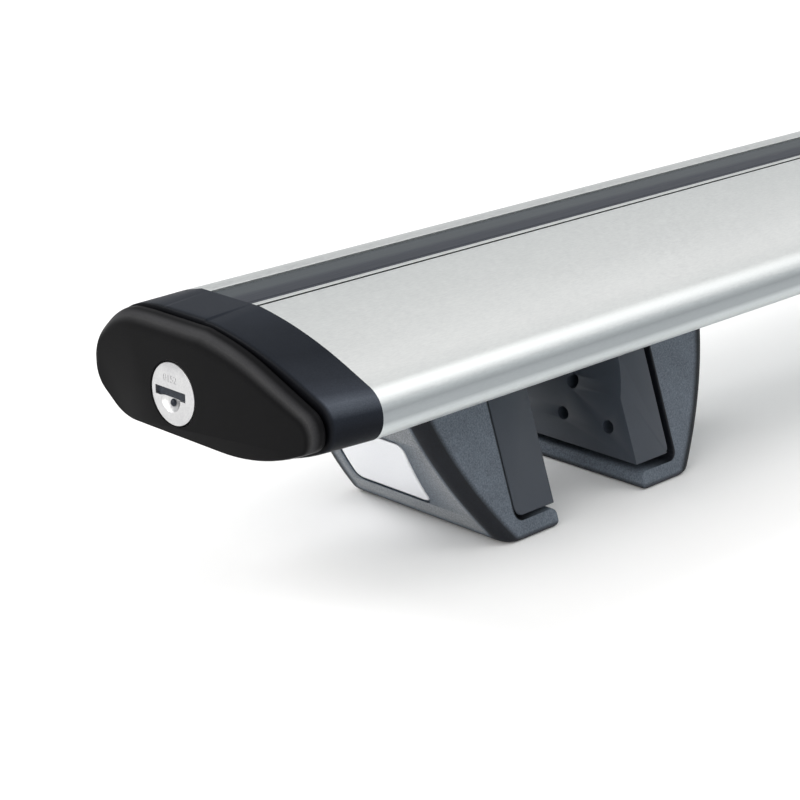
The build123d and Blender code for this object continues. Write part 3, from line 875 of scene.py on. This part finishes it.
def makeCap(side, sign):
    name, angle = side + "EndCap", cap["sharpAngle"]
    mesh = meshFrom(name, *atEnd(sign, capShell()), angle)
    piece = newPiece(name, mesh, side + "_cap", "cap_plastic", [side + "_end_cap"])
    cutShape(piece, atEnd(sign, lockCutter()))
    inside = atEnd(sign, addShell(plugWalls(), lockBoss()))
    shell = bmesh.new()
    shell.from_mesh(piece.data)
    shell.from_mesh(meshFrom("inside", *inside))
    shell.to_mesh(piece.data)
    shell.free()
    piece.data.materials.clear()
    piece.data.materials.append(materials["cap_plastic"])
    smoothen(piece.data, angle)


bothEnds(makeCap)
print("end caps made")

# Jaws and badge plates
jaw = {
    "face": 34.8,
    "topReach": 62.9,
    "kneeReach": 39.6,
    "bow": 3.1,
    "seatGap": 0.3,
    "near": 27.1,
    "rake": 0.36,
    "far": 18.8,
    "farFlare": 1.4,
    "edgeRound": 4.0,
    "edgeFade": 2.0,  # how far the painted shade of a rounded edge runs on
    "cornerRound": 3.0,
    "lip": 5.3,
    "lipNose": 18.7,
    "lipRound": 2.0,
    "frontRound": 0.35,
    # how far the painted shade of the pad's seat runs onto the sides
    "seatFade": 0.35,
    "roundSteps": 6,
    "bands": 16,
    "sharpAngle": 50,
}
jawTop = floorZ - jaw["seatGap"]


def jawNear(z):
    return jaw["near"] + jaw["rake"] * (floorZ - z)


def jawFar(z):
    return -jaw["far"] - jaw["farFlare"] * (1 - z / floorZ)


def jawBack(z):
    rise = z / jawTop
    straight = jaw["kneeReach"] + (jaw["topReach"] - jaw["kneeReach"]) * rise
    return straight + 4 * jaw["bow"] * rise * (1 - rise)


def jawRing(z, front, drawn=0, frontDrawn=0, seat=0.0):
    # a level ring, and what its points belong to:
    # 1 for rounded edges and the pad's seat, which are painted dark as shade,
    # -1 for the outer face, which is painted lighter as light
    near, far = slotY - jawNear(z) + drawn, slotY - jawFar(z) - drawn
    back, face = -jawBack(z) + drawn, -front - frontDrawn
    run, fade = jaw["edgeRound"], jaw["edgeRound"] + jaw["edgeFade"]
    corners = [(face, near), (face, far), (back, far), (back, near)]
    path = roundedPath(corners, [jaw["frontRound"], jaw["frontRound"], run, run])
    each = making["cornerSteps"] + 1
    fronts, backFar, backNear = path[:2 * each], path[2 * each:3 * each], path[3 * each:]
    beside = face - jaw["frontRound"] - jaw["seatFade"]
    farSide = [Vector((beside, far)), Vector((back + fade, far))]
    outerFace = [Vector((back, far - fade)), Vector((back, near + fade))]
    nearSide = [Vector((back + fade, near)), Vector((beside, near))]
    path = fronts + farSide + backFar + outerFace + backNear + nearSide
    # rounded edges are marked to be painted dark as shade
    rounded = [1.0] * each
    marks = [seat] * len(fronts) + [0.0, 0.0] + rounded + [-1.0, -1.0] + rounded + [0.0, 0.0]
    return [(p.x, p.y, z) for p in path], marks


def jawShell():
    # the lip's underside and top, the hollow corner behind it, and the wall up to the bar
    lip, soft, corner, bands = jaw["lip"], jaw["lipRound"], jaw["cornerRound"], jaw["bands"]
    lipTurns = quarterTurn(soft, jaw["roundSteps"])
    rows = []
    for drawn, left in reversed(lipTurns):
        ring, marks = jawRing(left, jaw["lipNose"], drawn, drawn)
        # the lip's underside is painted dark as shade
        rows.append((ring, [max(mark, (1 - left / soft) ** 0.5) for mark in marks]))
    rows += [jawRing(lip - left, jaw["lipNose"], 0, drawn) for drawn, left in lipTurns]
    for rise, drawn in quarterTurn(corner, jaw["roundSteps"]):
        # the jaw's face behind the pad, and the corner under it, are painted dark as shade
        rows.append(jawRing(lip + rise, jaw["face"] - drawn, seat=1.0))
    low = lip + corner
    for band in range(1, bands + 1):
        rows.append(jawRing(low + (jawTop - low) * band / bands, jaw["face"], seat=1.0))
    return ringShell([ring for ring, _ in rows]), [mark for _, marks in rows for mark in marks]


badge = {
    "far": -10.4,
    "near": 18.4,
    "low": 8.1,
    "high": 27.7,
    "round": 2.4,
    "thickness": 1.0,
    "gap": 0.8,
    "proud": 0.0,
    "edge": 0.35,
    "cutterProud": 3.0,
    "cutterEdge": 0.05,
    "sideParts": 6,
    "shares": [0.1, 0.4, 0.7, 0.9],  # of the outline, for the rings that carry the bow inwards
    "sharpAngle": 60,
}
badgeMiddle = (badge["near"] + badge["far"]) / 2, (badge["high"] + badge["low"]) / 2
badgeHalf = (badge["near"] - badge["far"]) / 2, (badge["high"] - badge["low"]) / 2


def badgeRing(grow, depth):
    # rounded rectangle laid on the bowed back of the jaw
    reach, z = badgeMiddle
    wide, high = [half + grow for half in badgeHalf]
    corners = [(reach + a * wide, z + b * high) for a, b in ((-1, -1), (1, -1), (1, 1), (-1, 1))]
    path = roundedPath(corners, [badge["round"] + grow] * 4)
    fine = []
    for point, following in zip(path, path[1:] + path[:1]):
        parts = badge["sideParts"] if (following - point).length > badge["round"] + grow else 1
        fine += [point.lerp(following, part / parts) for part in range(parts)]
    return [(-jawBack(p.y) + depth, slotY - p.x, p.y) for p in fine]


def shrunkRings(ring, depth):
    # smaller and smaller copies that follow the bow
    middleY, middleZ = slotY - badgeMiddle[0], badgeMiddle[1]
    rings = []
    for share in badge["shares"]:
        places = [(middleY + (y - middleY) * share, middleZ + (z - middleZ) * share) for _, y, z in ring]
        rings.append([(-jawBack(z) + depth, y, z) for y, z in places])
    return rings


def badgeShell(grow, proud, softEdge):
    # a slab between two bowed faces
    depth = badge["thickness"]
    outline = badgeRing(grow, -proud)
    walls = [badgeRing(grow - softEdge, -proud), badgeRing(grow, -proud + softEdge), badgeRing(grow, depth)]
    return ringShell(shrunkRings(outline, -proud) + walls + shrunkRings(outline, depth)[::-1])


def toFoot(sign, shape, inner=False):
    # from the middle of the left rail gap to its place on the bar
    points, faces = shape
    turned = mirrored(points) if inner else points
    return atEnd(sign, ([(x + leftEnd + rack["footInset"], y, z) for x, y, z in turned], faces))


def makeJaw(side, sign, kind, body):
    name = f"{side}{kind.title()}Jaw"
    shape, marks = jawShell()
    mesh = meshFrom(name, *toFoot(sign, shape, kind == "inner"), jaw["sharpAngle"], marks)
    return newPiece(name, mesh, body, "jaw_plastic", [f"{side}_{kind}_jaw"])


def makeJaws(side, sign):
    outer = makeJaw(side, sign, "outer", side + "_foot")
    cutter = badgeShell(badge["gap"], badge["cutterProud"], badge["cutterEdge"])
    # the walls of the badge's recess are marked to be painted dark as shade
    cutShape(outer, toFoot(sign, cutter), [1.0] * len(cutter[0]))
    smoothen(outer.data, jaw["sharpAngle"])
    plate = toFoot(sign, badgeShell(0, badge["proud"], badge["edge"]))
    mesh = meshFrom(side + "BadgePlate", *plate, badge["sharpAngle"])
    newPiece(side + "BadgePlate", mesh, side + "_foot", "badge", [side + "_badge_plate"])
    makeJaw(side, sign, "inner", side + "_clamp")


bothEnds(makeJaws)
print("jaws made")

# Outer pads, whose face is level up to the bar
pad = {
    "thickness": 15.6,
    "gap": 0.4,
    "lipGap": 0.8,
    "topGap": 3.0,
    "farInset": 1.2,
    "cornerRound": 2.6,
    "cornerSteps": 6,
    "edge": 0.3,
    "sharpAngle": 40,
    "pinRadius": 2.05,
    "pinRim": 0.25,
    "pinRecess": 5.2,
    "pinSteps": 40,
    "pinPlaces": [(-6.1, 16.7), (11.2, 16.7), (28.5, 16.7), (14.3, 27.2)],  # (reach, z)
}


def padRing(path, inward, near):
    # the pad's outline on its raked near side or its far side
    if near:
        return [(p.x, slotY - jawNear(p.y) + inward, p.y) for p in path]
    return [(p.x, slotY - jawFar(p.y) - pad["farInset"] - inward, p.y) for p in path]


def makeOuterPad(side, sign):
    # a level section carried from side to side, with a hole for each pin
    name, edge, angle = side + "OuterPad", pad["edge"], pad["sharpAngle"]
    back = -jaw["face"] + pad["gap"]
    face = back + pad["thickness"]
    low, high = jaw["lip"] + pad["gap"] + pad["lipGap"], floorZ - pad["topGap"]
    corners = [(back, low), (face, low), (face, high), (back, high)]
    outline = roundedPath(corners, [pad["cornerRound"], edge, edge, edge], pad["cornerSteps"])
    soft = insetTo(outline, edge)
    rings = [padRing(soft, 0, True), padRing(outline, edge, True)]
    rings += [padRing(outline, edge, False), padRing(soft, 0, False)]
    mesh = meshFrom(name, *toFoot(sign, ringShell(rings)), angle)
    piece = newPiece(name, mesh, side + "_foot", "pad_rubber", [side + "_outer_pad"])
    radius, wide = pad["pinRadius"], pad["pinRadius"] + pad["pinRim"]
    rows = [(face - pad["pinRecess"], radius), (face - pad["pinRim"], radius), (face, wide), (face + 1, wide)]
    holes = [], []
    for reach, z in pad["pinPlaces"]:
        holes = addShell(holes, ringShell(rodRings(rows, slotY - reach, z, pad["pinSteps"])))
    cutShape(piece, toFoot(sign, holes))
    smoothen(piece.data, angle)


bothEnds(makeOuterPad)
print("outer pads made")

# Pieces that keep their packed form, with softened edges
kept = {
    "bevel": 0.12,
    "edgeAngle": 32,
    "weld": 0.001,
    "flatAngle": 0.5,
    "finish": {
        "lock_sleeve": "zinc", "lock_core": "lock_satin", "lock_cam": "zinc", "cam_screw": "steel",
        "outer_pad_pins": "pin_plastic", "outer_carrier": "zinc", "outer_carrier_screws": "steel",
        "thrust_washer": "steel", "tension_bolt": "steel", "bolt_clip": "spring_steel",
        "inner_pad": "pad_rubber", "inner_pad_pins": "pin_plastic", "inner_carrier": "zinc",
        "inner_carrier_screws": "steel",
    },
    "softEdges": {"inner_pad": 0.3, "lock_core": 0.08},
    # the inner pad keeps off its jaw and lip by this much more
    "padInset": 0.8,
    "padLift": 0.6,
    "padCorner": 3.0,
}


def camelName(node):
    first, *rest = node.split("_")
    return first + "".join(word.title() for word in rest)


def softenedCopy(node, slotName, bevel):
    source = frame["nodes"][node]
    mesh = source.data.copy()
    shell = bmesh.new()
    shell.from_mesh(mesh)
    bmesh.ops.remove_doubles(shell, verts=shell.verts, dist=kept["weld"] * mm)
    flat = math.radians(kept["flatAngle"])
    bmesh.ops.dissolve_limit(shell, angle_limit=flat, verts=shell.verts, edges=shell.edges)
    shell.to_mesh(mesh)
    shell.free()
    piece = newPiece(camelName(node), mesh, source["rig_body"], slotName, [node])
    soften = piece.modifiers.new("soften", "BEVEL")
    angle = math.radians(kept["edgeAngle"])
    setAll(soften, width=bevel * mm, segments=2, harden_normals=False)
    setAll(soften, limit_method="ANGLE", angle_limit=angle)
    piece.data = applied(piece)
    smoothen(piece.data, kept["edgeAngle"])
    return piece


def clearFromJaw(side, sign):
    # draws the inner pad's back and underside in, which widens the dark joint around it
    middle = sign * (leftEnd + rack["footInset"])
    for vertex in pieces[side + "_inner_pad"].data.vertices:
        if abs(vertex.co.x / mm - middle) > jaw["face"] - kept["padCorner"]:
            vertex.co.x -= sign * kept["padInset"] * mm
        if vertex.co.z / mm < jaw["lip"] + kept["padCorner"]:
            vertex.co.z += kept["padLift"] * mm


pieces = {}
for side in sideNames:
    for node, slotName in kept["finish"].items():
        soft = kept["softEdges"].get(node, kept["bevel"])
        pieces[f"{side}_{node}"] = softenedCopy(f"{side}_{node}", slotName, soft)
bothEnds(clearFromJaw)
print("hardware softened")

# The lock's face: a disc with a keyway over a dark shutter, a scooped rest and a stamped number
lock = {
    "faceRadius": 8.4,
    "faceDepth": 1.6,
    "faceOverlap": 0.3,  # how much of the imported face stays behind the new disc
    "faceSlack": 0.05,
    "rim": 0.3,
    "sharpAngle": 28,
    "lean": 0.9,  # how far the keyway lies off the middle
    "slotWidth": 11.8,
    "slotHeight": 2.4,
    "shutterDepth": 0.7,
    "shutterThickness": 0.4,
    "shutterHidden": 0.2,  # how far it runs on behind the disc
    "scoop": [(-0.5, 4.1), (0.0, 3.9), (0.5, 3.3), (0.95, 2.3), (1.2, 1.1)],  # (depth, radius)
    "scoopRise": 0.1,  # from the keyway's lower edge to the scoop's middle
    "scoopTop": 0.3,
    "pinRadius": 1.1,
    "pinSteps": (8, 32),
    "pinDrop": 1.5,
    "pinDepth": 0.25,
    "number": "0152",
    "numberSize": 2.7,
    "numberRise": 3.8,
    "numberDepth": 0.12,
}
keyY, keyHalf = slotY + lock["lean"], lock["slotWidth"] / 2
keyLow, keyHigh = lockZ - lock["slotHeight"] / 2, lockZ + lock["slotHeight"] / 2
discBack = lock["faceDepth"] - lock["faceOverlap"] / 2


def flattenCore(side, sign):
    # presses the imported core's face in, to make room for the new disc
    front = sign * (leftEnd + lock["faceDepth"] - lock["faceOverlap"])
    for vertex in pieces[side + "_lock_core"].data.vertices:
        if sign * vertex.co.x / mm - leftEnd < lock["faceDepth"] - lock["faceSlack"]:
            vertex.co.x = front * mm


def numberStamp(sign):
    # the number as a mesh, upright and readable from outside
    words = bpy.data.curves.new("lockNumber", "FONT")
    setAll(words, body=lock["number"], size=lock["numberSize"], extrude=lock["numberDepth"])
    setAll(words, align_x="CENTER", align_y="CENTER")
    mesh = meshOf(newObject("lockNumber", words))
    turn = Matrix(((0, 0, -sign), (-sign, 0, 0), (0, 1, 0))).to_4x4()
    place = Vector((sign * leftEnd, keyY, lockZ + lock["numberRise"])) * mm
    mesh.transform(Matrix.Translation(place) @ turn @ Matrix.Scale(mm, 4))
    return mesh


def makeLockFace(side, sign):
    flattenCore(side, sign)
    name, radius, rim = side + "LockFace", lock["faceRadius"], lock["rim"]
    rows = [(0, radius - rim), (rim / 3, radius - rim / 3), (rim, radius), (discBack, radius)]
    disc = ringShell(endRings(rows, slotY, lockZ, making["lockSteps"]))
    piece = newPiece(name, meshFrom(name, *atEnd(sign, disc)), side + "_lock", "lock_satin")
    depths = leftEnd - 1, leftEnd + lock["faceDepth"]
    cutShape(piece, atEnd(sign, slab(depths, (keyY - keyHalf, keyY + keyHalf), (keyLow, keyHigh))))
    points, faces = ringShell(endRings(lock["scoop"], keyY, keyLow + lock["scoopRise"]))
    points = [(x, y, min(z, keyLow + lock["scoopTop"])) for x, y, z in points]
    cutShape(piece, atEnd(sign, (points, faces)))
    cutWith(piece, numberStamp(sign))
    smoothen(piece.data, lock["sharpAngle"])


def makeShutter(side, sign):
    # the dark plate behind the keyway, and the pin in the scoop
    hidden, front = lock["shutterHidden"], leftEnd + lock["shutterDepth"]
    across = keyY - keyHalf - hidden, keyY + keyHalf + hidden
    plate = slab((front, front + lock["shutterThickness"]), across, (keyLow, keyHigh + hidden))
    radius, (rows, steps) = lock["pinRadius"], lock["pinSteps"]
    dome = [(lock["pinDepth"] + back, radius - left) for back, left in quarterTurn(radius, rows)[1:]]
    pin = ringShell(endRings(dome + [(discBack, radius)], keyY, keyLow - lock["pinDrop"], steps))
    mesh = meshFrom(side + "KeyShutter", *atEnd(sign, addShell(plate, pin)))
    newPiece(side + "KeyShutter", mesh, side + "_lock", "spring_steel", finish="key_shutter")


for side, sign in sideNames.items():
    makeLockFace(side, sign)
    makeShutter(side, sign)
print("locks finished")

# Studio
studio = {
    "floorSize": 30.0,
    "floorColor": (0.93, 0.93, 0.93),
    "floorRoughness": 0.9,
    "horizon": (0.55, 0.56, 0.57),
    "ceiling": (0.80, 0.80, 0.80),
    "ceilingRise": 0.6,  # how steep the air is where it reaches the ceiling's tone
    # direction towards each soft light, its strength, how wide it looks in degrees, and its tone
    "suns": [
        ((-0.41, 0.59, 0.68), 1.2, 25.0, (1.0, 1.0, 1.0)),
        ((0.55, -0.30, 0.78), 0.6, 44.0, (1.0, 1.0, 1.0)),
        ((-0.85, -0.05, 0.50), 1.6, 50.0, (1.0, 0.97, 0.94)),
    ],
    "lens": 99.8,
    "sensor": 36.0,
    "clip": (0.01, 100),
    "lockPlace": (-0.590, 0.0121, 0.0536),
    "cameraFromLock": (-0.334, -0.4153, 0.183),
    "azimuth": 45.0,
    "elevation": 19.2,
}


def makeFloor():
    half = studio["floorSize"] / 2
    mesh = bpy.data.meshes.new("studioFloor")
    corners = [(-half, -half, 0), (half, -half, 0), (half, half, 0), (-half, half, 0)]
    mesh.from_pydata(corners, [], [(0, 1, 2, 3)])
    paper = newMaterial("studioPaper", studio["floorColor"], studio["floorRoughness"])
    mesh.materials.append(paper[0])
    floor = newObject("studioFloor", mesh)


def makeSun(name, towards, strength, spread, tone):
    data = bpy.data.lights.new(name, "SUN")
    setAll(data, color=tone, energy=strength, angle=math.radians(spread))
    light = newObject(name, data)
    light.rotation_euler = Vector(towards).to_track_quat("Z", "Y").to_euler()


def makeStudio():
    makeFloor()
    world = bpy.data.worlds.new("studioAir")
    world.use_nodes = True
    tree = world.node_tree
    place = addNode(tree, "ShaderNodeTexCoord").outputs["Generated"]
    rise = addRange(tree, axisOf(tree, place, "Z"), 0, studio["ceilingRise"])
    color = addColors(tree, rise, studio["horizon"], studio["ceiling"])
    tree.links.new(color, tree.nodes["Background"].inputs["Color"])
    for index, sun in enumerate(studio["suns"]):
        makeSun(f"softSun{index + 1}", *sun)
    scene = bpy.context.scene
    scene.world = world
    scene.view_settings.view_transform = "Standard"
    scene.view_settings.look = "None"


def makeCamera():
    data = bpy.data.cameras.new("photoCamera")
    setAll(data, lens=studio["lens"], sensor_width=studio["sensor"])
    data.clip_start, data.clip_end = studio["clip"]
    camera = newObject("photoCamera", data)
    camera.location = Vector(studio["lockPlace"]) + Vector(studio["cameraFromLock"])
    tilt = math.radians(90 - studio["elevation"])
    camera.rotation_euler = (tilt, 0, -math.radians(studio["azimuth"]))
    bpy.context.scene.camera = camera


makeStudio()
makeCamera()
print("studio made")
